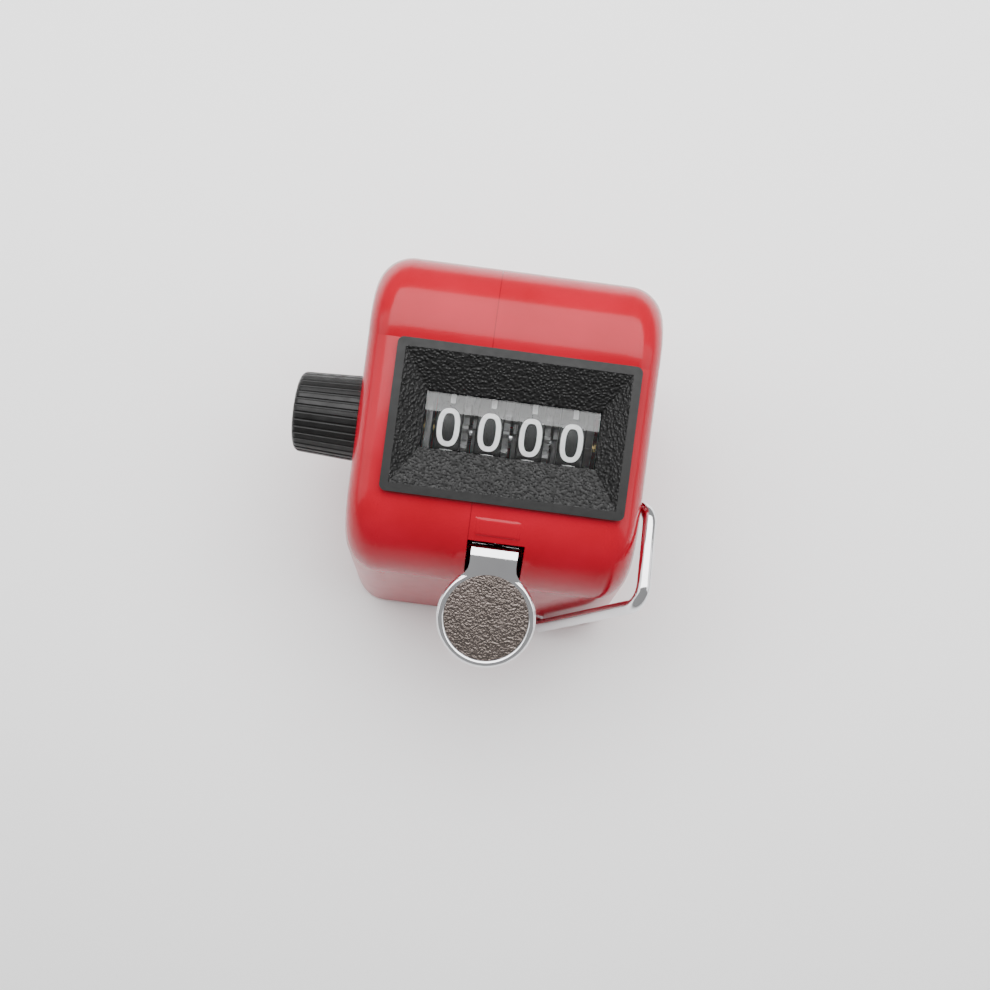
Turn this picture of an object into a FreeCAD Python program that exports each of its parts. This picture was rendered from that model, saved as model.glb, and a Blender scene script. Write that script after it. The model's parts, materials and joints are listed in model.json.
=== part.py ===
import FreeCAD, Part
import Sketcher
import math
import os

V = FreeCAD.Vector
doc = FreeCAD.newDocument("TallyCounter")
sheet = doc.addObject("Spreadsheet::Sheet", "Dims")

# Driving dimensions in millimetres and degrees.
# Frame: +X towards the units wheel, -Y towards the thumb lever, +Z up from the flat base.
DIMENSIONS = {
    "case_width": 42.0,
    "case_front": -22.65,
    "case_back": 22.65,
    "case_wall": 1.8,
    "side_round": 5.2,
    "inner_round": 3.4,
    "base_round": 1.2,
    "seam_place": -3.0,
    "panel_tilt": 16.0,
    "panel_middle": -3.35,
    "panel_height": 38.5,
    "front_round": 12.0,
    "back_round": 10.7,
    "back_round_height": 32.0,
    "train_middle": 1.0,
    "bezel_width": 34.2,
    "bezel_depth": 21.5,
    "bezel_proud": 1.0,
    "bezel_rim": 1.2,
    "bezel_sink": 1.6,
    "window_width": 24.9,
    "window_depth": 8.1,
    "window_floor": 3.9,
    "lens_top": 2.2,
    "lens_gap": 0.1,
    "axis_back": -0.15,
    "axis_height": 24.9,
    "wheel_pitch": 5.9,
    "drum_width": 3.9,
    "drum_round": 9.5,
    "drum_skin": 1.3,
    "hub_round": 2.6,
    "shaft_round": 1.5,
    "running_gap": 0.06,
    "gear_width": 0.9,
    "gear_step": 0.8,
    "segment_width": 0.6,
    "segment_reach": 6.9,
    "pinion_width": 1.5,
    "pinion_angle": -40.0,
    "ratchet_width": 1.4,
    "ratchet_round": 6.0,
    "ratchet_depth": 1.5,
    "plate_thick": 1.2,
    "left_plate_place": -13.2,
    "spacer_round": 2.0,
    "post_round": 1.6,
    "arm_place": -11.2,
    "arm_thick": 0.9,
    "right_plate_place": 16.2,
    "pin_round": 1.0,
    "lever_pin_round": 1.25,
    "lever_pin_back": 12.5,
    "lever_pin_height": 31.0,
    "lever_thick": 1.0,
    "lever_width": 6.6,
    "slot_width": 8.2,
    "slot_top": 33.0,
    "slot_bottom": 23.2,
    "pad_round": 7.0,
    "pad_front": -28.5,
    "pad_height": 29.64,
    "knob_length": 9.6,
    "knob_inner_round": 6.5,
    "knob_outer_round": 6.0,
    "knob_gap": 0.4,
    "knob_ribs": 36,
    "bush_round": 3.0,
    "wire_round": 1.0,
    "ring_bend": 3.0,
    "ring_foot": 9.6,
    "ring_side": 22.4,
    "ring_low": 2.4,
    "ring_high": 31.5,
    "ring_front": -24.1,
    "ring_far": -10.3,
    "ring_foot_back": -1.6,
    "screw_round": 1.2,
    "screw_head_round": 2.3,
    "sweep_gap": 1.5,
    "housing_wall": 1.2,
    "boss_round": 3.0,
    "screw_seat": 1.2,
    "frame_screw_round": 0.9,
    "frame_screw_head": 1.6,
    "frame_screw_length": 2.6,
    "frame_boss_round": 2.4,
    "pawl_pin_round": 0.6,
    "eye_round": 2.8,
    "lever_bend": 1.9,
    "web_low": 21.6,
    "web_high": 27.2,
    "lug_start": 13.2,
    "lug_end": 14.1,
    "pinion_teeth": 8,
    "gear_teeth": 20,
    "vent_round": 1.0,
    "vent_circle": 5.3,
    "knob_edge_round": 0.9,
    "rib_groove": 0.26,
}

row = 1
for alias, value in DIMENSIONS.items():
    cell = "A%d" % row
    sheet.set(cell, str(value))
    sheet.setAlias(cell, alias)
    row += 1
doc.recompute()


def dim(alias):
    return float(sheet.get(alias))


parts = []


def bind(item, sizes):
    """Binds the properties of a primitive to expressions of the sheet."""
    for prop, text in sizes.items():
        item.setExpression(prop, text)


def keep(item, label):
    """Marks an object as a finished sub-part."""
    item.Label = label
    parts.append(item)
    return item


def place(item, x, y, z):
    """Binds the place of an object; each coordinate is an expression."""
    bind(item, {"Placement.Base.x": x, "Placement.Base.y": y, "Placement.Base.z": z})
    return item


def rod(name, radius, length, x, y, z):
    """A cylinder along X that starts at x."""
    item = doc.addObject("Part::Cylinder", name)
    item.Placement.Rotation = FreeCAD.Rotation(V(0, 1, 0), 90)
    bind(item, {"Radius": radius, "Height": length})
    return place(item, x, y, z)


def cut(name, base, tool):
    item = doc.addObject("Part::Cut", name)
    item.Base = base
    item.Tool = tool
    return item


def solid(label, shape):
    """A sub-part whose shape is worked out with Part's own functions."""
    item = doc.addObject("Part::Feature", label)
    item.Shape = shape
    item.Placement = shape.Placement
    return keep(item, label)


AXIS_Y = "Dims.axis_back"
AXIS_Z = "Dims.axis_height"
axis = V(0, dim("axis_back"), dim("axis_height"))


def along_x(radius, start, end, y, z):
    return Part.makeCylinder(radius, end - start, V(start, y, z), V(1, 0, 0))


def block(x0, x1, y0, y1, z0, z1):
    return Part.makeBox(x1 - x0, y1 - y0, z1 - z0, V(x0, y0, z0))


# ---- the case's side profile ----

tilt = math.radians(dim("panel_tilt"))
panel_up = V(0, -math.sin(tilt), math.cos(tilt))
panel_back = V(0, math.cos(tilt), math.sin(tilt))
panel_centre = V(dim("train_middle"), dim("panel_middle"), dim("panel_height"))


def panel_z(y):
    return dim("panel_height") + (y - dim("panel_middle")) * math.tan(tilt)


def arc(centre, radius, start, end):
    """An arc in the YZ plane between two angles in degrees, counted from +Y towards +Z."""
    def at(angle):
        a = math.radians(angle)
        return V(0, centre.y + radius * math.cos(a), centre.z + radius * math.sin(a))
    return Part.Arc(at(start), at((start + end) / 2), at(end)).toShape()


def case_profile(inset):
    """The closed side profile of the case, moved inwards by inset."""
    front = dim("case_front") + inset
    back = dim("case_back") - inset
    front_r = dim("front_round") - inset
    back_r = dim("back_round") - inset
    front_y = dim("case_front") + dim("front_round")
    front_c = V(0, front_y, panel_z(front_y) - dim("front_round") / math.cos(tilt))
    back_c = V(0, dim("case_back") - dim("back_round"), dim("back_round_height"))
    top_front = front_c + panel_up * front_r
    offset = (back_c - top_front).dot(panel_up)
    reach = math.sqrt(back_r ** 2 - offset ** 2)
    along = (back_c - top_front).dot(panel_back)
    crease = top_front + panel_back * (along - reach)
    crease_angle = math.degrees(math.atan2(crease.z - back_c.z, crease.y - back_c.y))
    start = V(0, front, inset)
    end = V(0, back, inset)
    edges = [
        Part.makeLine(start, V(0, front, front_c.z)),
        arc(front_c, front_r, 180, 90 + dim("panel_tilt")),
        Part.makeLine(top_front, crease),
        arc(back_c, back_r, crease_angle, 0),
        Part.makeLine(V(0, back, back_c.z), end),
        Part.makeLine(end, start),
    ]
    return Part.Face(Part.Wire(Part.__sortEdges__(edges)))


def case_solid(inset, round_size):
    """The case's profile drawn out over its width, with rounded side edges and a small base round."""
    half = dim("case_width") / 2 - inset
    shape = case_profile(inset)
    shape.translate(V(-half, 0, 0))
    shape = shape.extrude(V(2 * half, 0, 0))
    low = inset + 0.01
    side = []
    for edge in shape.Edges:
        span = edge.BoundBox
        if span.XLength < 0.01 and span.ZMax > low:
            side.append(edge)
    shape = shape.makeFillet(round_size, side)
    bottom = [e for e in shape.Edges if e.BoundBox.ZMax < low]
    if inset == 0:
        shape = shape.makeFillet(dim("base_round"), bottom)
    return shape


outer = case_solid(0, dim("side_round"))
inner = case_solid(dim("case_wall"), dim("inner_round"))


# ---- openings and inner walls of the two shells ----

on_panel = FreeCAD.Placement(panel_centre, FreeCAD.Rotation(V(1, 0, 0), dim("panel_tilt")))


def panel_block(width, depth, low, high):
    """A block centred on the bezel; low and high are heights above the panel."""
    shape = Part.makeBox(width, depth, high - low, V(-width / 2, -depth / 2, low))
    shape.Placement = on_panel
    return shape


def rectangle(width, depth, height):
    w = width / 2
    d = depth / 2
    corners = [V(-w, -d, height), V(w, -d, height), V(w, d, height), V(-w, d, height)]
    return Part.makePolygon(corners + corners[:1])


def funnel(top, bottom):
    """A solid between two rectangles, each (width, depth, height), square to the panel."""
    shape = Part.makeLoft([rectangle(*bottom), rectangle(*top)], True, True)
    shape.Placement = on_panel
    return shape


ring_foot = V(dim("ring_foot"), 0, dim("ring_low"))
ring_top = V(dim("ring_side"), 0, dim("ring_high"))
ring_lean = (ring_top - ring_foot).normalize()
ring_out = V(ring_lean.z, 0, -ring_lean.x)


def ring_wedge(clearance, wall):
    """The space the ring's far arm sweeps as it swings out, or with wall its housing."""
    low = ring_foot - ring_lean * (dim("ring_low") / ring_lean.z + 3)
    high = ring_foot + ring_lean * (dim("ring_high") / ring_lean.z)
    front = dim("ring_far") - clearance - wall
    rear_low = dim("ring_foot_back") + clearance + wall + 1.5
    rear_high = dim("ring_far") + clearance + wall + 0.8
    back = ring_out * (-clearance - wall)
    corners = [
        low + back + V(0, front, 0),
        low + back + V(0, rear_low, 0),
        high + back + V(0, rear_high, 0),
        high + back + V(0, front, 0),
    ]
    face = Part.Face(Part.makePolygon(corners + corners[:1]))
    return face.extrude(ring_out * dim("case_width"))


seam = dim("seam_place")
half = dim("case_width") / 2
wall = dim("case_wall")
front_inside = dim("case_front") + wall
shell = outer.cut(inner)
left_half = block(-half - 9, seam, -40, 40, -9, 60)
right_half = block(seam, half + 9, -40, 40, -9, 60)
bezel_hole = panel_block(dim("bezel_width") - 2 * dim("bezel_rim"),
                         dim("bezel_depth") - 2 * dim("bezel_rim"), -4, 4)
middle = dim("train_middle")
lever_slot = block(seam, middle + dim("slot_width") / 2, -40, front_inside + 6,
                   dim("slot_bottom"), dim("slot_top"))
bearing_hole = along_x(dim("bush_round"), -half - 2, -half + 4, axis.y, axis.z)

screw_places = [V(0, 15.0, 7.2), V(0, -15.0, 9.0)]
screw_seat = dim("screw_seat")
boss_round = dim("boss_round")
sweep_gap = dim("sweep_gap")


def screw_bosses(start, end):
    shapes = [along_x(boss_round, start, end, p.y, p.z) for p in screw_places]
    return shapes[0].fuse(shapes[1:])


def make_left_shell():
    shape = shell.common(left_half)
    shape = shape.fuse(screw_bosses(-half + 0.4, seam).common(outer))
    for p in screw_places:
        shape = shape.cut(along_x(dim("screw_round") + 0.2, -half - 1, seam, p.y, p.z))
        shape = shape.cut(along_x(dim("screw_head_round") + 0.2, -half - 1, -half + screw_seat, p.y, p.z))
    return shape.cut(bezel_hole).cut(bearing_hole).removeSplitter()


plate_end = dim("right_plate_place") + dim("plate_thick")
frame_screw_places = [V(0, 14.6, 21.0), V(0, 4.0, 31.5)]


def make_right_shell():
    shape = shell.common(right_half)
    housing = ring_wedge(sweep_gap, dim("housing_wall")).common(outer).common(right_half)
    pivot_block = block(dim("ring_foot") - 3, dim("ring_foot") + 3, dim("case_front") + 1,
                        dim("ring_far") - sweep_gap, 0.5, 6)
    shape = shape.fuse([housing, pivot_block, screw_bosses(seam, half - 0.4).common(outer)])
    for p in frame_screw_places:
        shape = shape.fuse(along_x(dim("frame_boss_round"), plate_end, half - 1, p.y, p.z))
    for p in screw_places:
        shape = shape.cut(along_x(dim("screw_round"), seam, seam + 9, p.y, p.z))
    for p in frame_screw_places:
        shape = shape.cut(along_x(dim("frame_screw_round"), plate_end, half - 1, p.y, p.z))
    shape = shape.cut(ring_wedge(sweep_gap, 0))
    pivot = Part.makeCylinder(dim("wire_round") + 0.08, 20, V(ring_foot.x, -30, ring_foot.z), V(0, 1, 0))
    shape = shape.cut(pivot)
    return shape.cut(bezel_hole).cut(lever_slot).removeSplitter()


solid("left_shell", make_left_shell())
solid("right_shell", make_right_shell())

# ---- bezel and lens ----


def make_bezel():
    width = dim("bezel_width")
    depth = dim("bezel_depth")
    rim = 2 * dim("bezel_rim")
    window = (dim("window_width"), dim("window_depth"))
    collar = 2.4
    shape = panel_block(width, depth, 0, dim("bezel_proud"))
    shape = shape.makeFillet(0.9, [e for e in shape.Edges if abs(e.tangentAt(0).dot(panel_up)) > 0.9])
    plug = funnel((width - rim - 0.4, depth - rim - 0.4, 0), (window[0] + collar, window[1] + collar, -2.8))
    neck = panel_block(window[0] + collar, window[1] + collar, -dim("window_floor"), -2.8)
    slope = funnel((width - rim, depth - rim, dim("bezel_proud")), window + (-dim("bezel_sink"),))
    hole = panel_block(window[0], window[1], -9, 0)
    return shape.fuse([plug, neck]).cut(slope).cut(hole).removeSplitter()


solid("window_bezel", make_bezel())
gap = 2 * dim("lens_gap")
solid("window_lens", panel_block(dim("window_width") - gap, dim("window_depth") - gap,
                                 -dim("window_floor"), -dim("lens_top")))

# ---- counting train ----

shaft_hole = dim("shaft_round") + dim("running_gap")
gear_angle = math.radians(dim("pinion_angle"))
gear_teeth = int(dim("gear_teeth"))
pinion_teeth = int(dim("pinion_teeth"))
centre_distance = dim("gear_step") * (gear_teeth + pinion_teeth) / 2
pinion_axis = axis + V(0, math.cos(gear_angle), math.sin(gear_angle)) * centre_distance


def gear(teeth, centre, start, width, first_angle, hole):
    """A spur gear along X with tapered teeth, the middle of one tooth at first_angle degrees."""
    step = dim("gear_step")
    pitch = step * teeth / 2
    levels = [(pitch - 1.35 * step, 0.27), (pitch, 0.18), (pitch + 0.9 * step, 0.08)]
    points = []
    for tooth in range(teeth):
        middle_angle = math.radians(first_angle) + 2 * math.pi * tooth / teeth
        flank = [(r, -share) for r, share in levels] + [(r, share) for r, share in reversed(levels)]
        for r, share in flank:
            a = middle_angle + share * 2 * math.pi / teeth
            points.append(centre + V(start, r * math.cos(a), r * math.sin(a)))
    face = Part.Face(Part.makePolygon(points + points[:1]))
    shape = face.extrude(V(width, 0, 0))
    return shape.cut(along_x(hole, start - 1, start + width + 1, centre.y, centre.z))


def drum(start):
    """A number wheel: a rim and a hub joined by a web, open on its left side."""
    end = start + dim("drum_width")
    shape = along_x(dim("drum_round"), start, end, axis.y, axis.z)
    shape = shape.makeChamfer(0.15, [e for e in shape.Edges if e.Closed])
    pocket = along_x(dim("drum_round") - dim("drum_skin"), start + 1.0, end - 1.0, axis.y, axis.z)
    pocket = pocket.cut(along_x(dim("hub_round"), start, end, axis.y, axis.z))
    vents = []
    for angle in range(30, 390, 90):
        arm = dim("vent_circle")
        y = axis.y + arm * math.cos(math.radians(angle))
        z = axis.z + arm * math.sin(math.radians(angle))
        vents.append(along_x(dim("vent_round"), start - 1, end + 1, y, z))
    return shape.cut(pocket).cut(vents)


def segment(start):
    """The low transfer disc on a wheel's left side, with its two teeth."""
    width = dim("segment_width")
    disc = along_x(dim("segment_reach") - 1.4, start - width, start, axis.y, axis.z)
    teeth = []
    for angle in (-9, 9):
        tooth = block(start - width, start, -0.45, 0.45, 0, dim("segment_reach"))
        tooth = tooth.cut(block(start - width, start, -1, 1, dim("segment_reach") - 0.08, 99))
        tooth.rotate(V(0, 0, 0), V(1, 0, 0), angle)
        tooth.translate(axis)
        teeth.append(tooth)
    return disc.fuse(teeth)


wheel_names = ["thousands_wheel", "hundreds_wheel", "tens_wheel", "units_wheel"]
pinion_names = ["thousands_pinion", "hundreds_pinion", "tens_pinion"]
wheel_starts = [middle + (n - 1.5) * dim("wheel_pitch") - dim("drum_width") / 2 for n in range(4)]
mesh_angle = dim("pinion_angle")

for place_number, name in enumerate(wheel_names):
    start = wheel_starts[place_number]
    end = start + dim("drum_width")
    shape = drum(start)
    if name != "units_wheel":
        shape = shape.fuse(gear(gear_teeth, axis, end, dim("gear_width"), mesh_angle, shaft_hole))
    if name != "thousands_wheel":
        shape = shape.fuse(segment(start))
    bore = along_x(shaft_hole, start - 2, end + 2, axis.y, axis.z)
    solid(name, shape.cut(bore).removeSplitter())

for place_number, name in enumerate(pinion_names):
    start = wheel_starts[place_number] + dim("drum_width") + 0.25
    half_tooth = 180.0 / pinion_teeth
    solid(name, gear(pinion_teeth, pinion_axis, start, dim("pinion_width"),
                     mesh_angle + 180 + half_tooth, dim("pin_round") + dim("running_gap")))


def make_ratchet():
    """Ten saw teeth; the steep faces meet the pawl on the front side."""
    start = wheel_starts[3] + dim("drum_width")
    outside = dim("ratchet_round")
    inside = outside - dim("ratchet_depth")
    points = []
    for tooth in range(10):
        a = 2 * math.pi * tooth / 10
        b = a + 2 * math.pi * 0.06 / 10
        points.append(axis + V(start, inside * math.cos(a), inside * math.sin(a)))
        points.append(axis + V(start, outside * math.cos(b), outside * math.sin(b)))
    shape = Part.Face(Part.makePolygon(points + points[:1])).extrude(V(dim("ratchet_width"), 0, 0))
    return shape.cut(along_x(shaft_hole, start - 1, start + 3, axis.y, axis.z))


solid("ratchet_wheel", make_ratchet())
ratchet_end = wheel_starts[3] + dim("drum_width") + dim("ratchet_width")

KNOB_END = "-Dims.case_width / 2 - Dims.knob_gap - Dims.knob_length"
SHAFT_LENGTH = ("Dims.right_plate_place + Dims.plate_thick + 0.6 + Dims.case_width / 2"
                " + Dims.knob_gap + Dims.knob_length - 1.5")
shaft = rod("ShaftRod", "Dims.shaft_round", SHAFT_LENGTH,
            KNOB_END + " + 1.5", AXIS_Y, AXIS_Z)
keep(shaft, "wheel_shaft")


def tube(label, outer_round, inner_round, length, x, y, z):
    """A bush or washer along X, as a cut of two cylinders."""
    outside = rod(label + "_outside", outer_round, length, x, y, z)
    inside = rod(label + "_inside", inner_round, length, x, y, z)
    return keep(cut(label + "_tube", outside, inside), label)


RUNNING = "Dims.shaft_round + Dims.running_gap"
WHEELS_START = "(Dims.train_middle - 1.5 * Dims.wheel_pitch - Dims.drum_width / 2)"
tube("shaft_bush", "Dims.bush_round", RUNNING, "Dims.case_wall + 0.6",
     "-Dims.case_width / 2 - 0.2", AXIS_Y, AXIS_Z)
tube("left_spacer", "Dims.spacer_round", RUNNING,
     WHEELS_START + " - Dims.left_plate_place - Dims.plate_thick - 0.1",
     "Dims.left_plate_place + Dims.plate_thick + 0.05", AXIS_Y, AXIS_Z)
RATCHET_END = "Dims.train_middle + 1.5 * Dims.wheel_pitch + Dims.drum_width / 2 + Dims.ratchet_width"
tube("right_spacer", "Dims.spacer_round", RUNNING, "Dims.right_plate_place - (%s) - 0.1" % RATCHET_END,
     RATCHET_END + " + 0.05", AXIS_Y, AXIS_Z)

PIN_LENGTH = "Dims.right_plate_place + Dims.plate_thick - Dims.left_plate_place"
PINION_Y = "Dims.axis_back + cos(Dims.pinion_angle * 1 deg) * 14 * Dims.gear_step"
PINION_Z = "Dims.axis_height + sin(Dims.pinion_angle * 1 deg) * 14 * Dims.gear_step"
keep(rod("PinionRod", "Dims.pin_round", PIN_LENGTH, "Dims.left_plate_place", PINION_Y, PINION_Z), "pinion_shaft")
keep(rod("LeverRod", "Dims.lever_pin_round", PIN_LENGTH, "Dims.left_plate_place",
         "Dims.lever_pin_back", "Dims.lever_pin_height"), "lever_pivot_pin")

# ---- frame plates, posts and screws ----

lever_pin = V(0, dim("lever_pin_back"), dim("lever_pin_height"))
post_places = [V(0, 14.2, 15.4), V(0, 16.2, 25.4)]
plate_points = [V(0, -3.2, 22.6), V(0, 5.2, 13.2), V(0, 15.6, 13.2), V(0, 18.2, 18),
                V(0, 18.2, 30), V(0, 14.2, 33.8), V(0, 1.5, 33.8), V(0, -3.2, 28.5)]


def make_plate(label, place_alias):
    """A punched side plate as a sketch, a pad and holes."""
    body = doc.addObject("PartDesign::Body", label + "_body")
    sketch = body.newObject("Sketcher::SketchObject", label + "_outline")
    plane = [f for f in body.Origin.OriginFeatures if f.Role == "YZ_Plane"][0]
    sketch.AttachmentSupport = [(plane, "")]
    sketch.MapMode = "FlatFace"
    count = len(plate_points)
    for number in range(count):
        a = plate_points[number]
        b = plate_points[(number + 1) % count]
        sketch.addGeometry(Part.LineSegment(V(a.y, a.z, 0), V(b.y, b.z, 0)))
    holes = [(axis, "shaft_round", 0.06), (pinion_axis, "pin_round", 0.0), (lever_pin, "lever_pin_round", 0.0)]
    for centre, alias, extra in holes:
        circle = sketch.addGeometry(Part.Circle(V(centre.y, centre.z, 0), V(0, 0, 1), dim(alias) + extra))
        number = sketch.addConstraint(Sketcher.Constraint("Radius", circle, dim(alias) + extra))
        sketch.setExpression("Constraints[%d]" % number, "Dims.%s + %g" % (alias, extra))
    if label == "right_plate":
        for p in frame_screw_places:
            sketch.addGeometry(Part.Circle(V(p.y, p.z, 0), V(0, 0, 1), 1.1))
    pad = body.newObject("PartDesign::Pad", label + "_pad")
    pad.Profile = sketch
    pad.setExpression("Length", "Dims.plate_thick")
    body.setExpression("Placement.Base.x", "Dims." + place_alias)
    keep(body, label)


make_plate("left_plate", "left_plate_place")
make_plate("right_plate", "right_plate_place")

left_inside = dim("left_plate_place") + dim("plate_thick")
right_inside = dim("right_plate_place")
posts = [along_x(dim("post_round"), left_inside, right_inside, p.y, p.z) for p in post_places]
solid("frame_posts", Part.makeCompound(posts))


def screw(start, shank, direction, place_point, shank_round, head_round):
    """A pan screw along X with a cross slot; direction points from the head to the tip."""
    x0 = min(start, start + direction * shank)
    head_x = start if direction < 0 else start - 1.0
    shape = along_x(shank_round, x0, x0 + shank, place_point.y, place_point.z)
    shape = shape.fuse(along_x(head_round, head_x, head_x + 1.0, place_point.y, place_point.z))
    slot_x = start + 0.5 if direction < 0 else start - 1.0
    arm = head_round * 0.6
    for y_arm, z_arm in ((arm, 0.22), (0.22, arm)):
        shape = shape.cut(block(slot_x, slot_x + 0.5, place_point.y - y_arm, place_point.y + y_arm,
                                place_point.z - z_arm, place_point.z + z_arm))
    return shape


case_shank = seam + 8 + half - screw_seat
case_screws = [screw(-half + screw_seat, case_shank, 1, p, dim("screw_round"), dim("screw_head_round"))
               for p in screw_places]
solid("case_screws", Part.makeCompound(case_screws))
frame_screws = [screw(right_inside, dim("frame_screw_length"), 1, p, dim("frame_screw_round"),
                      dim("frame_screw_head")) for p in frame_screw_places]
solid("frame_screws", Part.makeCompound(frame_screws))

# ---- reset knob ----


def make_knob():
    """A slightly tapered knob with fine straight ribs and a rounded outer end."""
    inner_x = -half - dim("knob_gap")
    length = dim("knob_length")
    shape = Part.makeCone(dim("knob_inner_round"), dim("knob_outer_round"), length,
                          V(inner_x, axis.y, axis.z), V(-1, 0, 0))
    outer_edge = [e for e in shape.Edges if e.Closed and e.BoundBox.XMax < inner_x - length + 0.1]
    shape = shape.makeFillet(dim("knob_edge_round"), outer_edge)
    ribs = int(dim("knob_ribs"))
    taper = math.degrees(math.atan2(dim("knob_inner_round") - dim("knob_outer_round"), length))
    grooves = []
    for number in range(ribs):
        groove = Part.makeCylinder(dim("rib_groove"), length + 2, V(-1, 0, 0), V(1, 0, 0))
        groove.rotate(V(0, 0, 0), V(0, 1, 0), -taper)
        groove.translate(V(inner_x - length, 0, dim("knob_outer_round") + 0.08))
        groove.rotate(V(0, 0, 0), V(1, 0, 0), 360.0 * number / ribs)
        groove.translate(axis)
        grooves.append(groove)
    shape = shape.cut(Part.makeCompound(grooves))
    dish = along_x(3.6, inner_x - length - 1, inner_x - length + 0.4, axis.y, axis.z)
    bore = along_x(dim("shaft_round"), inner_x - length + 1.5, inner_x + 1, axis.y, axis.z)
    return shape.cut(dish).cut(bore)


solid("reset_knob", make_knob())

# ---- thumb lever ----

pad_centre = V(middle, dim("pad_front"), dim("pad_height"))
thick = dim("lever_thick")


def yz_plate(points, x0, x1):
    """A flat plate with a polygon outline in the YZ plane."""
    corners = [V(x0, y, z) for y, z in points]
    return Part.Face(Part.makePolygon(corners + corners[:1])).extrude(V(x1 - x0, 0, 0))


def shoulders(half_neck):
    """The flat flares that carry the neck's sides out to the edge of the pad."""
    right = [V(half_neck, 8.0, 0), V(half_neck, 7.4, 0), V(3.42, 6.6, 0), V(3.8, 5.95, 0), V(4.3, 5.5, 0)]
    left = [V(-p.x, p.y, 0) for p in reversed(right)]
    corners = right + left
    shape = Part.Face(Part.makePolygon(corners + corners[:1])).extrude(V(0, 0, thick))
    shape.translate(V(0, 0, -thick / 2))
    shape.Placement = FreeCAD.Placement(pad_centre, on_panel.Rotation).multiply(shape.Placement)
    return shape


def make_lever():
    """Round pad, neck bent over into the slot, cross web, side arm and pivot eye."""
    half_neck = dim("lever_width") / 2
    pad = Part.makeCylinder(dim("pad_round"), thick, V(0, 0, -thick / 2))
    pad = pad.makeFillet(0.45, [e for e in pad.Edges if e.Closed and e.BoundBox.ZMin > 0])
    pad.Placement = FreeCAD.Placement(pad_centre, on_panel.Rotation)
    bend = dim("lever_bend")
    bend_start = pad_centre + panel_back * 8.27
    bend_centre = bend_start - panel_up * bend
    web_y = bend_centre.y + bend
    path_low = dim("web_low")
    path_high = dim("web_high")
    neck = Part.makeBox(2 * half_neck, 4.5, thick, V(-half_neck, -4.5, -thick / 2))
    neck.Placement = FreeCAD.Placement(bend_start, on_panel.Rotation)
    round_part = along_x(bend + thick / 2, middle - half_neck, middle + half_neck, bend_centre.y, bend_centre.z)
    round_part = round_part.cut(along_x(bend - thick / 2, -30, 30, bend_centre.y, bend_centre.z))
    keep_side = yz_plate([(bend_centre.y, bend_centre.z),
                          (bend_centre.y - 9 * math.sin(tilt), bend_centre.z + 9 * math.cos(tilt)),
                          (bend_centre.y + 9, bend_centre.z + 9), (bend_centre.y + 9, bend_centre.z)], -30, 30)
    round_part = round_part.common(keep_side)
    drop = block(middle - half_neck, middle + half_neck, web_y - thick / 2, web_y + thick / 2,
                 path_low, bend_centre.z)
    arm_x = dim("arm_place")
    arm_end = arm_x + dim("arm_thick")
    web = block(arm_x, dim("lug_end"), web_y - thick / 2, web_y + thick / 2, path_low, path_high)
    pin_y = lever_pin.y
    pin_z = lever_pin.z
    eye_round = dim("eye_round")
    arm = yz_plate([(web_y - thick / 2, path_low), (web_y + 2, path_low), (-9.0, 29.2), (0, 30.2),
                    (pin_y, pin_z - eye_round), (pin_y, pin_z + eye_round), (0, 34.2), (-9.0, 32.2),
                    (web_y - thick / 2, path_high)], arm_x, arm_end)
    eye = along_x(eye_round, arm_x, arm_end, pin_y, pin_z)
    lug_low = path_high - 4.0
    lug_back = web_y + 3.6
    lug = yz_plate([(web_y, lug_low), (lug_back, lug_low), (lug_back, path_high), (web_y, path_high)],
                   dim("lug_start"), dim("lug_end"))
    shape = pad.fuse([shoulders(half_neck), neck, round_part, drop, web, arm, eye, lug])
    shape = shape.cut(along_x(dim("lever_pin_round") + dim("running_gap"), arm_x - 1, arm_end + 1, pin_y, pin_z))
    return shape.removeSplitter(), web_y


lever_shape, web_place = make_lever()
pawl_pin = V(0, web_place + 2.3, 25.2)
lever_shape = lever_shape.cut(along_x(dim("pawl_pin_round"), 12, 15, pawl_pin.y, pawl_pin.z))
solid("thumb_lever", lever_shape)

# ---- pawl, its pin and the springs ----

ratchet_start = wheel_starts[3] + dim("drum_width")
solid("pawl_pin", along_x(dim("pawl_pin_round"), ratchet_start - 0.2, dim("lug_end") + 0.2,
                          pawl_pin.y, pawl_pin.z))


def make_pawl():
    """A finger from its pin to just in front of the ratchet's teeth."""
    start = ratchet_start + 0.1
    end = ratchet_start + 0.9
    tip = axis.y - dim("ratchet_round") - 0.4
    finger = yz_plate([(pawl_pin.y, pawl_pin.z - 0.9), (tip, pawl_pin.z - 0.9), (tip, pawl_pin.z - 0.3),
                       (pawl_pin.y, pawl_pin.z + 0.9)], start, end)
    hub = along_x(1.25, start, end, pawl_pin.y, pawl_pin.z)
    hole = along_x(dim("pawl_pin_round") + 0.05, start - 1, end + 1, pawl_pin.y, pawl_pin.z)
    return finger.fuse(hub).cut(hole).removeSplitter()


solid("drive_pawl", make_pawl())


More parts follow.
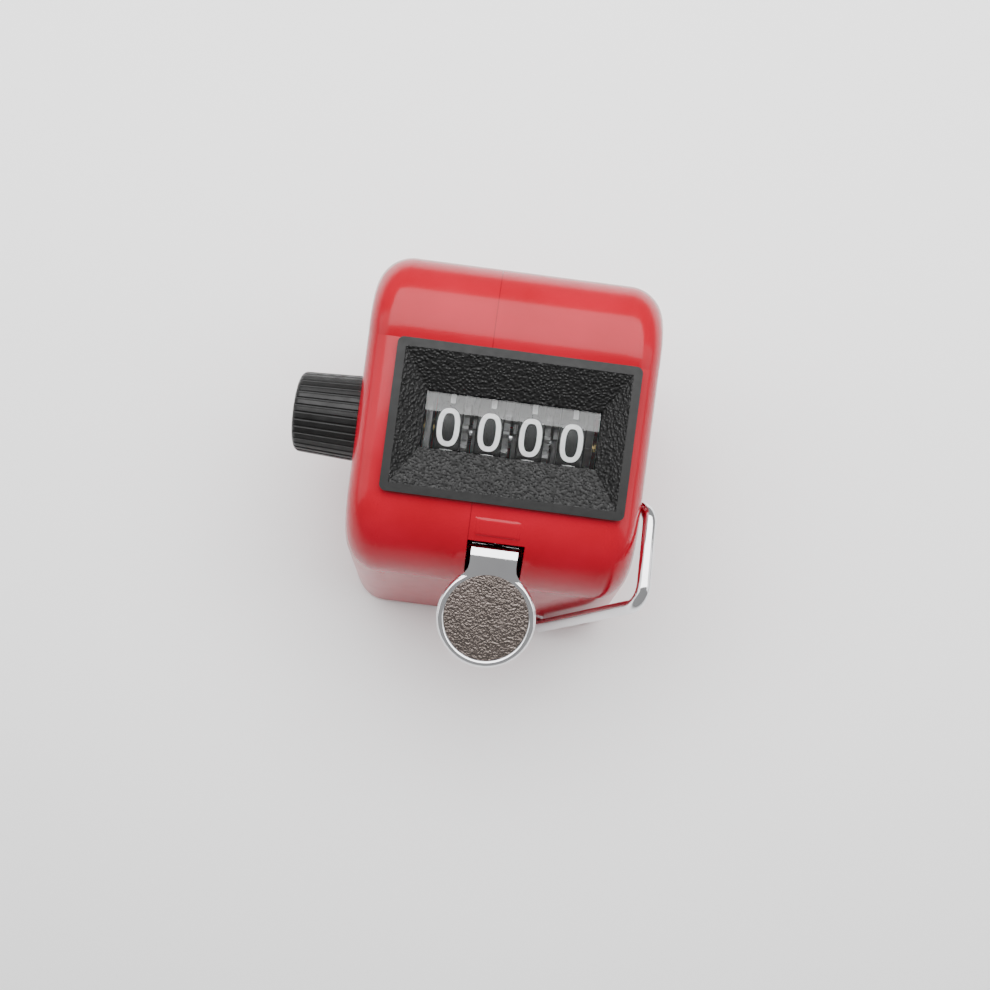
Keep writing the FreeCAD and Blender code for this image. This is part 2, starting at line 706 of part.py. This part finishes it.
def coil(start, coil_round, wire, turns, centre, legs):
    """A torsion spring along X: a helix with a straight leg at each end."""
    pitch = wire * 2.3
    helix = Part.makeHelix(pitch, pitch * turns, coil_round)
    section = Part.Wire(Part.makeCircle(wire, V(coil_round, 0, 0), V(0, 1, 0)))
    shape = Part.Wire(helix).makePipeShell([section], True, True)
    shape.rotate(V(0, 0, 0), V(0, 1, 0), 90)
    shape.translate(V(start, centre.y, centre.z))
    rods = []
    for x_offset, angle, length in legs:
        a = math.radians(angle)
        base_point = centre + V(start + x_offset, coil_round * math.cos(a), coil_round * math.sin(a))
        direction = V(0, -math.sin(a), math.cos(a)) if length > 0 else V(0, math.sin(a), -math.cos(a))
        rods.append(Part.makeCylinder(wire, abs(length), base_point, direction))
    return shape.fuse(rods)


turns = 5
wire = 0.25
spring_start = dim("arm_place") + dim("arm_thick") + 0.6
solid("return_spring", coil(spring_start, 1.9, wire, turns, lever_pin,
                            [(0, 180, -4.0), (wire * 2.3 * turns, 180, 5.0)]))
solid("pawl_spring", coil(ratchet_start + 1.05, 0.95, 0.08, 1, pawl_pin, [(0.18, 90, 1.6)]))

leaf_post = post_places[1]
leaf_tip = axis.y + dim("ratchet_round") + 0.4
leaf = block(ratchet_start + 0.1, ratchet_start + 1.3, leaf_tip, leaf_post.y - dim("post_round") + 0.3, 25.0, 25.3)
collar = along_x(dim("post_round") + 0.4, ratchet_start + 0.1, ratchet_start + 1.3, leaf_post.y, leaf_post.z)
collar = collar.cut(along_x(dim("post_round"), 0, 20, leaf_post.y, leaf_post.z))
leaf = leaf.cut(along_x(dim("post_round"), 0, 20, leaf_post.y, leaf_post.z))
solid("detent_spring", leaf.fuse(collar).removeSplitter())

# ---- finger ring ----


def bent_wire(points, radius, bend):
    """A round wire through points, with a tangent arc of the given size at each inner point."""
    edges = []
    last = points[0]
    for number in range(1, len(points) - 1):
        corner = points[number]
        before = (points[number - 1] - corner).normalize()
        after = (points[number + 1] - corner).normalize()
        turn = before.getAngle(after)
        reach = bend[number - 1] / math.tan(turn / 2)
        start = corner + before * reach
        end = corner + after * reach
        inward = (before + after).normalize()
        centre = corner + inward * (bend[number - 1] / math.sin(turn / 2))
        edges.append(Part.makeLine(last, start))
        edges.append(Part.Arc(start, centre - inward * bend[number - 1], end).toShape())
        last = end
    edges.append(Part.makeLine(last, points[-1]))
    path = Part.Wire(edges)
    heading = (points[1] - points[0]).normalize()
    section = Part.Wire(Part.makeCircle(radius, points[0], heading))
    return path.makePipeShell([section], True, False)


ring_points = [
    V(ring_foot.x, dim("case_front") + 3.2, ring_foot.z),
    V(ring_foot.x, dim("ring_front"), ring_foot.z),
    V(ring_top.x, dim("ring_front"), ring_top.z),
    V(ring_top.x, dim("ring_far"), ring_top.z),
    V(ring_foot.x, dim("ring_foot_back"), ring_foot.z),
    V(ring_foot.x, dim("ring_far") - sweep_gap - 4.0, ring_foot.z),
]
ring_bends = [1.3, dim("ring_bend"), dim("ring_bend"), 2.0]
solid("finger_ring", bent_wire(ring_points, dim("wire_round"), ring_bends))

# ---- checks and export ----

doc.recompute()
for item in doc.Objects:
    bad = [state for state in item.State if state in ("Invalid", "Error")]
    if bad:
        raise RuntimeError("%s is %s" % (item.Name, bad))
for item in parts:
    if item.Shape.isNull() or not item.Shape.isValid():
        raise RuntimeError("%s has no valid shape" % item.Label)

os.makedirs("parts", exist_ok=True)
for item in parts:
    item.Shape.exportStep(os.path.join("parts", item.Label + ".step"))
print("wrote", len(parts), "parts")
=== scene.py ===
import math

import bpy
from mathutils import Matrix, Vector
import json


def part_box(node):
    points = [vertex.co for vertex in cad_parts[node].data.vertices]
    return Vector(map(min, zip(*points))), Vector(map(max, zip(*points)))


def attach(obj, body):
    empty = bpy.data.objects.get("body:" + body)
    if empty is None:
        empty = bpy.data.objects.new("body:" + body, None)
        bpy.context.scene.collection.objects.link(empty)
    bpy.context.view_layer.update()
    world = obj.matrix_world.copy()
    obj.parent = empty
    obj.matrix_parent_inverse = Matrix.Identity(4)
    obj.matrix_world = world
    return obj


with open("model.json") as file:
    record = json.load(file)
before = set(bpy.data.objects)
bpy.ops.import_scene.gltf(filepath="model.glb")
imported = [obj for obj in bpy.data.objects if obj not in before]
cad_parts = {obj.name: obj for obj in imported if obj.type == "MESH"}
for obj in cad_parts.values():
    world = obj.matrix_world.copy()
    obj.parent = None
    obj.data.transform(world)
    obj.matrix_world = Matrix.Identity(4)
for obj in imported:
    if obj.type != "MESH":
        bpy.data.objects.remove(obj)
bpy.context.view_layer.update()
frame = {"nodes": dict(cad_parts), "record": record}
nodes = frame["nodes"]
scene = bpy.context.scene
MM = 0.001
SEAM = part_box("left_shell")[1].x


# ---- node material helpers ----


def material(name):
    """A new material with an empty node tree, its shader and its output."""
    mat = bpy.data.materials.new(name)
    mat.use_nodes = True
    tree = mat.node_tree
    tree.nodes.clear()
    out = tree.nodes.new("ShaderNodeOutputMaterial")
    shader = tree.nodes.new("ShaderNodeBsdfPrincipled")
    tree.links.new(shader.outputs["BSDF"], out.inputs["Surface"])
    return mat, tree, shader


def node(tree, kind, **values):
    """Adds a node; each value sets a socket by name, or a property when no socket has that name."""
    made = tree.nodes.new(kind)
    for key, value in values.items():
        words = key.replace("_", " ")
        if words in made.inputs:
            made.inputs[words].default_value = value
        else:
            setattr(made, key, value)
    return made


def coordinates(tree, scale=(1, 1, 1)):
    source = tree.nodes.new("ShaderNodeTexCoord")
    mapping = tree.nodes.new("ShaderNodeMapping")
    mapping.inputs["Scale"].default_value = scale
    tree.links.new(source.outputs["Object"], mapping.inputs["Vector"])
    return mapping.outputs["Vector"]


def noise(tree, where, scale, detail=3.0, roughness=0.5):
    made = node(tree, "ShaderNodeTexNoise", Scale=scale, Detail=detail, Roughness=roughness)
    tree.links.new(where, made.inputs["Vector"])
    return made.outputs["Fac"]


def ramp(tree, source, low, high, start, end):
    """Maps a value to a colour or grey between two stops."""
    made = tree.nodes.new("ShaderNodeValToRGB")
    stops = made.color_ramp.elements
    stops[0].position, stops[1].position = start, end
    stops[0].color, stops[1].color = low, high
    tree.links.new(source, made.inputs["Fac"])
    return made.outputs["Color"]


def grey(value):
    return (value, value, value, 1)


def bump(tree, shader, height, strength, distance):
    made = node(tree, "ShaderNodeBump", Strength=strength, Distance=distance)
    tree.links.new(height, made.inputs["Height"])
    tree.links.new(made.outputs["Normal"], shader.inputs["Normal"])
    return made


# ---- materials ----


def red_plastic():
    mat, tree, shader = material("red_gloss_plastic")
    where = coordinates(tree)
    tone = ramp(tree, noise(tree, where, 90, 4), (0.33, 0.001, 0.011, 1), (0.38, 0.002, 0.016, 1), 0.35, 0.65)
    axes = tree.nodes.new("ShaderNodeSeparateXYZ")
    tree.links.new(where, axes.inputs["Vector"])
    seam = node(tree, "ShaderNodeMath", operation="COMPARE")
    tree.links.new(axes.outputs["X"], seam.inputs[0])
    seam.inputs[1].default_value = SEAM
    seam.inputs[2].default_value = 0.06 * MM
    line = node(tree, "ShaderNodeMix", data_type="RGBA")
    line.inputs[7].default_value = (0.20, 0.002, 0.008, 1)
    tree.links.new(seam.outputs["Value"], line.inputs["Factor"])
    tree.links.new(tone, line.inputs[6])
    tree.links.new(line.outputs[2], shader.inputs["Base Color"])
    rough = ramp(tree, noise(tree, where, 450, 3), grey(0.19), grey(0.23), 0.4, 0.7)
    tree.links.new(rough, shader.inputs["Roughness"])
    shader.inputs["Specular IOR Level"].default_value = 0.20
    shader.inputs["Coat Weight"].default_value = 0.12
    shader.inputs["Coat Roughness"].default_value = 0.06
    bump(tree, shader, noise(tree, where, 260, 2), 0.02, 0.0001)
    return mat


def grained_black():
    """Leather-grained satin black for the slopes of the bezel; the rim has its own smooth black."""
    mat, tree, shader = material("grained_black_plastic")
    where = coordinates(tree)
    warp = node(tree, "ShaderNodeTexNoise", Scale=700, Detail=2.0)
    tree.links.new(where, warp.inputs["Vector"])
    mix = node(tree, "ShaderNodeMix", data_type="VECTOR")
    mix.inputs["Factor"].default_value = 0.0003
    tree.links.new(where, mix.inputs[4])
    tree.links.new(warp.outputs["Color"], mix.inputs[5])
    cells = node(tree, "ShaderNodeTexVoronoi", Scale=2700, feature="SMOOTH_F1")
    tree.links.new(mix.outputs[1], cells.inputs["Vector"])
    rough = ramp(tree, cells.outputs["Distance"], grey(0.24), grey(0.62), 0.1, 0.6)
    tree.links.new(rough, shader.inputs["Roughness"])
    tone = ramp(tree, cells.outputs["Distance"], grey(0.010), grey(0.002), 0.1, 0.7)
    tree.links.new(tone, shader.inputs["Base Color"])
    shader.inputs["Specular IOR Level"].default_value = 0.32
    bump(tree, shader, cells.outputs["Distance"], 1.0, -0.00028)
    return mat


def satin_black(name, tone):
    mat, tree, shader = material(name)
    where = coordinates(tree)
    colour = ramp(tree, noise(tree, where, 300, 3), grey(tone * 0.8), grey(tone * 1.3), 0.3, 0.7)
    tree.links.new(colour, shader.inputs["Base Color"])
    shader.inputs["Specular IOR Level"].default_value = 0.3
    rough = ramp(tree, noise(tree, where, 900, 2), grey(0.34), grey(0.50), 0.35, 0.7)
    tree.links.new(rough, shader.inputs["Roughness"])
    bump(tree, shader, noise(tree, where, 2500, 2), 0.12, 0.00006)
    return mat


def metal(name, tone, rough_low, rough_high, grain, grain_height, stretch=(1, 1, 1)):
    mat, tree, shader = material(name)
    where = coordinates(tree, stretch)
    darker = tuple(c * 0.88 for c in tone) + (1,)
    colour = ramp(tree, noise(tree, where, 120, 3), darker, tone + (1,), 0.3, 0.7)
    tree.links.new(colour, shader.inputs["Base Color"])
    shader.inputs["Metallic"].default_value = 1.0
    rough = ramp(tree, noise(tree, where, 500, 3), grey(rough_low), grey(rough_high), 0.35, 0.7)
    tree.links.new(rough, shader.inputs["Roughness"])
    bump(tree, shader, noise(tree, where, grain, 2), 0.4, grain_height)
    return mat


def clear_plastic():
    """Clear lens with hazy scratches."""
    mat, tree, shader = material("clear_plastic")
    where = coordinates(tree)
    shader.inputs["Transmission Weight"].default_value = 1.0
    shader.inputs["IOR"].default_value = 1.42
    shader.inputs["Specular IOR Level"].default_value = 0.25
    tint = ramp(tree, noise(tree, where, 200, 2), (0.95, 0.97, 0.97, 1), (1, 1, 1, 1), 0.3, 0.7)
    tree.links.new(tint, shader.inputs["Base Color"])
    rough = ramp(tree, noise(tree, coordinates(tree, (1, 6, 1)), 900, 4), grey(0.0), grey(0.10), 0.62, 0.78)
    tree.links.new(rough, shader.inputs["Roughness"])
    return mat


def white_ink():
    mat, tree, shader = material("white_printed_ink")
    where = coordinates(tree)
    tone = ramp(tree, noise(tree, where, 1500, 3), grey(0.92), grey(0.99), 0.3, 0.6)
    tree.links.new(tone, shader.inputs["Base Color"])
    rough = ramp(tree, noise(tree, where, 900, 2), grey(0.45), grey(0.6), 0.3, 0.7)
    tree.links.new(rough, shader.inputs["Roughness"])
    return mat


RED = red_plastic()
GRAINED = grained_black()
KNOB_BLACK = satin_black("knob_black_plastic", 0.006)
RIM_BLACK = satin_black("rim_black_plastic", 0.009)
WHEEL_BLACK = satin_black("wheel_black_plastic", 0.002)
GEAR_GREY = satin_black("grey_acetal", 0.22)
CHROME = metal("chrome", (0.80, 0.80, 0.82), 0.04, 0.10, 300, 0.00003)
HAMMERED = metal("grained_chrome", (0.19, 0.16, 0.145), 0.22, 0.28, 3000, 0.00032)
STEEL = metal("bright_steel", (0.62, 0.62, 0.64), 0.18, 0.32, 900, 0.00003, (1, 1, 12))
# A darker, rougher copy of the steel for the lever's arm inside the case; its dark tone is painted shade.
STEEL_PAINTED_SHADE = metal("steel_painted_shade", (0.10, 0.10, 0.10), 0.5, 0.65, 900, 0.00003)
BRASS = metal("turned_brass", (0.78, 0.58, 0.26), 0.15, 0.3, 900, 0.00003, (12, 1, 1))
CLEAR = clear_plastic()
INK = white_ink()

LOOK = {
    "red_case": RED, "black_bezel": GRAINED, "clear_lens": CLEAR, "black_wheel": WHEEL_BLACK,
    "grey_gear": GEAR_GREY, "black_knob": KNOB_BLACK, "chrome": CHROME, "steel": STEEL, "brass": BRASS,
}
for part in frame["record"]["subparts"]:
    shown = nodes[part["node"]]
    shown.data.materials.clear()
    shown.data.materials.append(LOOK[part["material_slot"]])


# ---- the panel's own axes, from the bezel ----

TILT = math.radians(16)
AXIS = Vector((0, -0.15, 24.9)) * MM
PANEL = Vector((1.0, -3.35, 38.5)) * MM
UP = Vector((0, -math.sin(TILT), math.cos(TILT)))
BACK = Vector((0, math.cos(TILT), math.sin(TILT)))
PAD = Vector((1.0, -28.5, 29.64)) * MM


def second_material(name, extra, chosen):
    """Gives the faces for which chosen(centre, normal) holds a second material."""
    mesh = nodes[name].data
    mesh.materials.append(extra)
    for face in mesh.polygons:
        if chosen(face.center, face.normal):
            face.material_index = 1


def is_rim(centre, normal):
    """The faces square to the panel or standing up from it."""
    height = (centre - PANEL).dot(UP)
    facing = normal.dot(UP)
    return facing > 0.995 or height > 0.05 * MM and abs(facing) < 0.2


def is_tooth(centre, normal):
    """The gear rings, transfer discs and hubs, which lie inside the drum's rim."""
    radius = Vector((0, centre.y, centre.z)) - AXIS
    return radius.length < 8.8 * MM


def is_inside(centre, normal):
    """The lever's side arm, which runs inside the case past the end of the window; these faces get a darker
    steel as painted shade.
    """
    return centre.x < -9.5 * MM


second_material("window_bezel", RIM_BLACK, is_rim)
# The lever's arm inside the case gets the darker steel, painted shade.
second_material("thumb_lever", STEEL_PAINTED_SHADE, is_inside)
for wheel in ("thousands_wheel", "hundreds_wheel", "tens_wheel", "units_wheel"):
    second_material(wheel, GEAR_GREY, is_tooth)


# ---- mesh helpers ----


def mesh_piece(name, vertices, faces, mat, body):
    """Makes a piece from vertices and faces that moves with a CAD body."""
    mesh = bpy.data.meshes.new(name)
    mesh.from_pydata(vertices, [], faces)
    mesh.update()
    made = bpy.data.objects.new(name, mesh)
    scene.collection.objects.link(made)
    mesh.materials.append(mat)
    for face in mesh.polygons:
        face.use_smooth = True
    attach(made, body)
    return made


def ribbon(points, width, closed):
    """Left and right edge points of a stroke of even width along a flat path."""
    count = len(points)
    edges = []
    for number, point in enumerate(points):
        before = points[(number - 1) % count] if closed or number > 0 else point
        after = points[(number + 1) % count] if closed or number < count - 1 else point
        heading = (Vector(after) - Vector(before)).normalized()
        side = Vector((-heading.y, heading.x)) * width / 2
        edges.append((Vector(point) + side, Vector(point) - side))
    return edges


def oval(cx, cy, rx, ry, start, end, steps=28):
    """Points on an ellipse between two angles in degrees, counted from +x towards +y."""
    angles = [math.radians(start + (end - start) * n / steps) for n in range(steps + 1)]
    return [(cx + rx * math.cos(a), cy + ry * math.sin(a)) for a in angles]


def line(x0, y0, x1, y1, steps=8):
    return [(x0 + (x1 - x0) * n / steps, y0 + (y1 - y0) * n / steps) for n in range(steps + 1)]


# ---- printed digits ----

HALF_W, HALF_H, STROKE = 1.25, 2.4, 0.72
INK_THICK = 0.03 * MM
UPPER = 1.15


def superoval(width, height, power=2.6, steps=56):
    """A narrow zero: an oval with flattened sides."""
    points = []
    for n in range(steps):
        a = 2 * math.pi * n / steps
        c, t = math.cos(a), math.sin(a)
        x = width * math.copysign(abs(c) ** (2 / power), c)
        y = height * math.copysign(abs(t) ** (2 / power), t)
        points.append((x, y))
    return points


def digit_strokes(digit):
    """Strokes of a digit as (points, closed), in millimetres about its centre."""
    w, h, u = HALF_W, HALF_H, UPPER
    strokes = {
        0: [(superoval(w, h), True)],
        1: [(line(0.2, h, 0.2, -h), False), (line(-0.7, h - 0.9, 0.2, h), False)],
        2: [(oval(0, h - w, w, w, 165, -35) + line(w * 0.8, 0.4, -w, -h), False),
            (line(-w, -h, w, -h), False)],
        3: [(oval(0, u, w, h - u, 150, -75), False), (oval(0, -u, w, h - u, 75, -150), False)],
        4: [(line(0.6, -h, 0.6, h) + line(0.6, h, -w, -0.9), False), (line(-w, -0.9, w, -0.9), False)],
        5: [(line(w, h, -w * 0.8, h) + line(-w * 0.8, h, -w, 0.4), False),
            (oval(0, -0.8, w, h - 0.8, 140, -150), False)],
        6: [(superoval(w, 1.35), True), (line(0.7, h, -0.8, 0.2), False)],
        7: [(line(-w, h, w, h), False), (line(w, h, -0.4, -h), False)],
        8: [(superoval(w * 0.9, u, 2.2), True), (superoval(w, u + 0.05, 2.2), True)],
        9: [(superoval(w, 1.35), True), (line(-0.7, -h, 0.8, -0.2), False)],
    }[digit]
    shift = {6: [-1.05, 0], 9: [1.05, 0], 8: [u + 0.05, -u - 0.05]}.get(digit)
    if shift:
        strokes = [([(x, y + move) for x, y in points], closed)
                   for (points, closed), move in zip(strokes, shift)]
    return strokes


def print_digits(wheel, body):
    """The ten digits round a drum, with zero facing the window; higher digits come from the back."""
    low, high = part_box(wheel)
    drum_radius = (high.y - low.y) / 2
    ink_radius = drum_radius + INK_THICK
    centre_x = WHEEL_X[wheel]
    vertices, faces = [], []
    for digit in range(10):
        turn = TILT - digit * math.radians(36)
        for points, closed in digit_strokes(digit):
            first = len(vertices)
            edges = ribbon(points, STROKE, closed)
            for pair in edges:
                for p in pair:
                    angle = turn - p.y * MM / drum_radius
                    y = -ink_radius * math.sin(angle)
                    z = ink_radius * math.cos(angle)
                    vertices.append(AXIS + Vector((centre_x + p.x * MM, y, z)))
            count = len(edges)
            for n in range(count if closed else count - 1):
                a = first + 2 * n
                b = first + 2 * ((n + 1) % count)
                faces.append((a, b, b + 1, a + 1))
    return mesh_piece(wheel + "_digits", vertices, faces, INK, body)


PITCH = 5.9 * MM
WHEEL_X = {
    "thousands_wheel": 1.0 * MM - 1.5 * PITCH, "hundreds_wheel": 1.0 * MM - 0.5 * PITCH,
    "tens_wheel": 1.0 * MM + 0.5 * PITCH, "units_wheel": 1.0 * MM + 1.5 * PITCH,
}
for wheel_name in WHEEL_X:
    print_digits(wheel_name, wheel_name.split("_")[0])


# ---- pad: polished raised rim and a grained face ----


def panel_point(centre, x, back, up):
    return centre + Vector((x, 0, 0)) + BACK * back + UP * up


def pad_face():
    """A fine hammered disc set inside the rim."""
    top = 0.52 * MM
    rings, sides = 10, 72
    radius = 6.0 * MM
    vertices = [panel_point(PAD, 0, 0, top)]
    faces = []
    for ring in range(1, rings + 1):
        for side in range(sides):
            a = 2 * math.pi * side / sides
            r = radius * ring / rings
            vertices.append(panel_point(PAD, r * math.cos(a), r * math.sin(a), top))
    for side in range(sides):
        faces.append((0, 1 + side, 1 + (side + 1) % sides))
    for ring in range(1, rings):
        for side in range(sides):
            a = 1 + (ring - 1) * sides
            b = a + sides
            follow = (side + 1) % sides
            faces.append((a + side, b + side, b + follow, a + follow))
    return mesh_piece("pad_face", vertices, faces, HAMMERED, "lever")


def pad_rim():
    """A low bead round the pad's edge, open where the neck joins and tapered out at its ends."""
    sides, turns = 96, 12
    major, thickest = 6.42 * MM, 0.42 * MM
    neck, taper = 26, 0.06
    vertices, faces = [], []
    for side in range(sides + 1):
        share = side / sides
        a = math.radians(90 + neck + (360 - 2 * neck) * share)
        minor = thickest * max(0.05, min(1, share / taper, (1 - share) / taper))
        for turn in range(turns):
            b = 2 * math.pi * turn / turns
            r = major + minor * math.cos(b)
            height = 0.42 * MM + 0.6 * minor * math.sin(b)
            vertices.append(panel_point(PAD, r * math.cos(a), r * math.sin(a), height))
    for side in range(sides):
        for turn in range(turns):
            a = side * turns
            b = (side + 1) * turns
            follow = (turn + 1) % turns
            faces.append((a + turn, b + turn, b + follow, a + follow))
    return mesh_piece("pad_rim", vertices, faces, CHROME, "lever")


pad_face()
pad_rim()


def brow():
    """A low raised patch on the front curve, just above the lever's slot."""
    radius = 12.0 * MM
    centre_y = -10.65 * MM
    centre_z = 23.92 * MM
    half_width = 3.3 * MM
    lift = 0.16 * MM
    columns, rows = 14, 10
    vertices, faces = [], []
    for row in range(rows + 1):
        angle = math.radians(24 + 13 * row / rows)
        for column in range(columns + 1):
            edge = row in (0, rows) or column in (0, columns)
            r = radius + (-0.02 * MM if edge else lift)
            x = 1.0 * MM + half_width * (2 * column / columns - 1)
            vertices.append(Vector((x, centre_y - r * math.sin(angle), centre_z + r * math.cos(angle))))
    for row in range(rows):
        for column in range(columns):
            a = row * (columns + 1) + column
            faces.append((a, a + columns + 1, a + columns + 2, a + 1))
    return mesh_piece("slot_brow", vertices, faces, RED, "case")


brow()

# ---- stage, lights and camera ----


def stage_plane(name, size, location, rotation, mat):
    bpy.ops.mesh.primitive_plane_add(size=size, location=location, rotation=rotation)
    made = bpy.context.object
    made.name = name
    made.data.materials.append(mat)
    return made


def paper():
    mat, tree, shader = material("pale_paper")
    tone = ramp(tree, noise(tree, coordinates(tree), 4, 2), grey(0.86), grey(0.90), 0.3, 0.7)
    tree.links.new(tone, shader.inputs["Base Color"])
    shader.inputs["Roughness"].default_value = 0.8
    return mat


stage_plane("floor", 3.0, (0, 0, 0), (0, 0, 0), paper())


def softbox(name, location, target, size, power):
    light = bpy.data.lights.new(name, "AREA")
    light.shape = "RECTANGLE"
    light.size, light.size_y = size
    light.energy = power
    made = bpy.data.objects.new(name, light)
    made.location = location
    made.rotation_mode = "QUATERNION"
    made.rotation_quaternion = (Vector(target) - Vector(location)).to_track_quat("-Z", "Y")
    scene.collection.objects.link(made)
    return made


CENTRE = (0, 0, 25 * MM)
# The large softbox starts just behind the camera, so that its front edge shows across the window.
LAMP_HEIGHT = 0.200
LAMP_EDGE = 0.0145
LAMP_DEPTH = 0.42
lamp_place = PANEL + UP * LAMP_HEIGHT + BACK * (LAMP_EDGE + LAMP_DEPTH / 2)
softbox("top_softbox", lamp_place, lamp_place - UP, (0.55, LAMP_DEPTH), 4.0)
softbox("left_softbox", (-0.45, -0.02, 0.20), CENTRE, (0.25, 0.30), 0.4)
softbox("right_softbox", (0.45, -0.02, 0.20), CENTRE, (0.25, 0.30), 0.4)

world = bpy.data.worlds.new("studio")
scene.world = world
world.use_nodes = True
world.node_tree.nodes["Background"].inputs["Color"].default_value = (1, 1, 1, 1)
world.node_tree.nodes["Background"].inputs["Strength"].default_value = 0.40

camera_data = bpy.data.cameras.new("camera")
camera_data.lens = 42.5
camera_data.sensor_width = 36
camera_data.clip_start = 0.005
camera = bpy.data.objects.new("camera", camera_data)
scene.collection.objects.link(camera)
roll = math.radians(7.5)
right = Vector((1, 0, 0)) * math.cos(roll) + BACK * math.sin(roll)
upward = BACK * math.cos(roll) - Vector((1, 0, 0)) * math.sin(roll)
basis = Matrix((right, upward, UP)).transposed().to_4x4()
CAMERA_UP = 162.5 * MM
CAMERA_FORWARD = 9.4 * MM
basis.translation = PANEL - Vector((MM, 0, 0)) - BACK * CAMERA_FORWARD + UP * CAMERA_UP
camera.matrix_world = basis
scene.camera = camera
